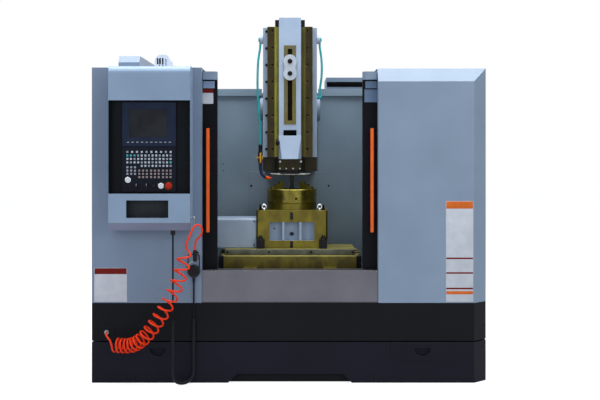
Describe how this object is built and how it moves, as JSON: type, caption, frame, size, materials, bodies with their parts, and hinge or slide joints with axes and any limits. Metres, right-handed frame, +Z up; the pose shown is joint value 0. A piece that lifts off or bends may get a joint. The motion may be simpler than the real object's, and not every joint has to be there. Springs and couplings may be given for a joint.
{
  "type": "cnc slotting machine",
  "caption": "Enclosed slotting machine: a crank-driven ram with a keyway tool over a rotary chuck on a cross table, sliding doors, console, handwheel pendant and air gun.",
  "frame": {"origin": "on the floor at the middle of the machine's footprint", "axes": "+Z up, +Y from the operator's side to the back, +X to the operator's right"},
  "size_m": [2.3, 1.9679, 2.188],
  "materials": {
    "shell_paint": "satin",
    "wall_paint": "satin",
    "base_paint": "satin",
    "sill_paint": "satin",
    "console_paint": "satin",
    "door_black": "satin",
    "window_glass": "clear",
    "handle_orange": "gloss",
    "panel_navy": "matte",
    "screen_black": "gloss",
    "button_red": "gloss",
    "button_white": "gloss",
    "plastic_black": "matte",
    "cable_black": "matte",
    "hose_orange": "gloss",
    "bed_iron": "painted",
    "steel": "machined",
    "filmed_iron": "machined under rust film",
    "head_paint": "satin",
    "tool_steel": "black oxide",
    "cover_paint": "satin",
    "motor_paint": "satin",
    "pipe_teal": "gloss",
    "brass": "machined",
    "coolant_navy": "matte"
  },
  "bodies": {
    "frame": {"plinth": "base_paint", "chip_pan": "base_paint", "tray_covers": "base_paint", "left_shell": "shell_paint", "right_shell": "shell_paint", "front_sill": "sill_paint", "rear_wall": "wall_paint", "roof_duct": "console_paint", "electrical_cabinet": "shell_paint", "control_box": "console_paint", "display_unit": "panel_navy", "display_glass": "screen_black", "keypad": "panel_navy", "pendant_body": "plastic_black", "pendant_cable": "cable_black", "pendant_conduit": "cable_black", "air_hose": "hose_orange", "air_hose_coil": "hose_orange", "blow_gun": "plastic_black", "bed": "bed_iron", "levelling_pads": "steel", "column": "head_paint", "slotting_head": "head_paint", "gib_strips": "filmed_iron", "main_motor": "motor_paint", "lube_pipes": "pipe_teal", "coolant_valve": "brass", "coolant_hose": "coolant_navy"},
    "left_door": {"left_door": "door_black", "left_window": "window_glass", "left_handle": "handle_orange"},
    "right_door": {"right_door": "door_black", "right_window": "window_glass", "right_handle": "handle_orange"},
    "cabinet_door": {"electrical_door": "shell_paint"},
    "estop": {"estop_button": "button_red"},
    "start": {"start_button": "button_white"},
    "stop": {"stop_button": "button_white"},
    "mode_selector": {"mode_knob": "plastic_black"},
    "feed_selector": {"feed_knob": "plastic_black"},
    "dial": {"pendant_dial": "plastic_black"},
    "gun_lever": {"blow_trigger": "plastic_black"},
    "valve_handle": {"valve_lever": "steel"},
    "cross_slide": {"saddle": "filmed_iron"},
    "work_table": {"table": "filmed_iron", "rotary_base": "filmed_iron", "clamp_bolts": "tool_steel", "eyebolts": "steel", "motor_cover": "cover_paint"},
    "rotary": {"rotary_plate": "steel", "chuck_body": "steel"},
    "jaw_a": {"jaw_1": "steel"},
    "jaw_b": {"jaw_2": "steel"},
    "jaw_c": {"jaw_3": "steel"},
    "slotting_ram": {"ram": "head_paint", "ram_link": "head_paint", "tool_head": "filmed_iron", "slotting_tool": "tool_steel"},
    "crank": {"crank_disc": "steel"},
    "rod": {"connecting_rod": "steel"}
  },
  "joints": [
    {"name": "left_door_slide", "type": "slide", "parent": "frame", "child": "left_door", "axis": [1, 0, 0], "range_m": [0, 0.426]},
    {"name": "right_door_slide", "type": "slide", "parent": "frame", "child": "right_door", "axis": [-1, 0, 0], "range_m": [0, 0.426]},
    {"name": "cabinet_door_hinge", "type": "hinge", "parent": "frame", "child": "cabinet_door", "pos_m": [1.124, 0.9153, 1.157], "axis": [0, 0, -1], "range_deg": [0, 110]},
    {"name": "estop_press", "type": "slide", "parent": "frame", "child": "estop", "axis": [0, 1, 0], "range_m": [0, 0.006]},
    {"name": "start_press", "type": "slide", "parent": "frame", "child": "start", "axis": [0, 1, 0], "range_m": [0, 0.003], "stiffness_N_per_m": 800},
    {"name": "stop_press", "type": "slide", "parent": "frame", "child": "stop", "axis": [0, 1, 0], "range_m": [0, 0.003], "stiffness_N_per_m": 800},
    {"name": "mode_turn", "type": "hinge", "parent": "frame", "child": "mode_selector", "pos_m": [-0.87, -0.924, 1.148], "axis": [0, 1, 0], "range_deg": [-90, 90]},
    {"name": "feed_turn", "type": "hinge", "parent": "frame", "child": "feed_selector", "pos_m": [-0.813, -0.924, 1.148], "axis": [0, 1, 0], "range_deg": [-135, 135]},
    {"name": "dial_turn", "type": "hinge", "parent": "frame", "child": "dial", "pos_m": [-0.557, -0.815, 0.65], "axis": [0, 1, 0], "continuous": true},
    {"name": "trigger_squeeze", "type": "hinge", "parent": "frame", "child": "gun_lever", "pos_m": [-0.523, -0.9, 0.768], "axis": [0, 1, 0], "range_deg": [0, 4.5], "stiffness_Nm_per_rad": 0.3},
    {"name": "valve_turn", "type": "hinge", "parent": "frame", "child": "valve_handle", "pos_m": [-0.19, -0.14, 1.303], "axis": [0, 1, 0], "range_deg": [0, 90]},
    {"name": "saddle_slide", "type": "slide", "parent": "frame", "child": "cross_slide", "axis": [0, 1, 0], "range_m": [-0.04, 0.12]},
    {"name": "table_slide", "type": "slide", "parent": "cross_slide", "child": "work_table", "axis": [1, 0, 0], "range_m": [-0.2, 0.2]},
    {"name": "rotary_turn", "type": "hinge", "parent": "work_table", "child": "rotary", "pos_m": [0.012, -0.15, 1], "axis": [0, 0, 1], "continuous": true},
    {"name": "jaw_a_slide", "type": "slide", "parent": "rotary", "child": "jaw_a", "axis": [0, 1, 0], "range_m": [-0.012, 0.008]},
    {"name": "jaw_b_slide", "type": "slide", "parent": "rotary", "child": "jaw_b", "axis": [-0.866, -0.5, 0], "range_m": [-0.012, 0.008]},
    {"name": "jaw_c_slide", "type": "slide", "parent": "rotary", "child": "jaw_c", "axis": [0.866, -0.5, 0], "range_m": [-0.012, 0.008]},
    {"name": "ram_stroke", "type": "slide", "parent": "frame", "child": "slotting_ram", "axis": [0, 0, 1], "range_m": [0, 0.24]},
    {"name": "crank_turn", "type": "hinge", "parent": "frame", "child": "crank", "pos_m": [0, 0.04, 1.692], "axis": [0, 1, 0], "range_deg": [0, 180.5]},
    {"name": "rod_swing", "type": "hinge", "parent": "slotting_ram", "child": "rod", "pos_m": [0, -0.0421, 1.872], "axis": [0, 1, 0], "range_deg": [-23.5, 23.5]}
  ],
  "couplings": [
    {"joint": "jaw_b_slide", "follows": "jaw_a_slide", "ratio": 1},
    {"joint": "jaw_c_slide", "follows": "jaw_a_slide", "ratio": 1},
    {"joint": "crank_turn", "follows": "ram_stroke", "rad_per_m": 13.09}
  ]
}
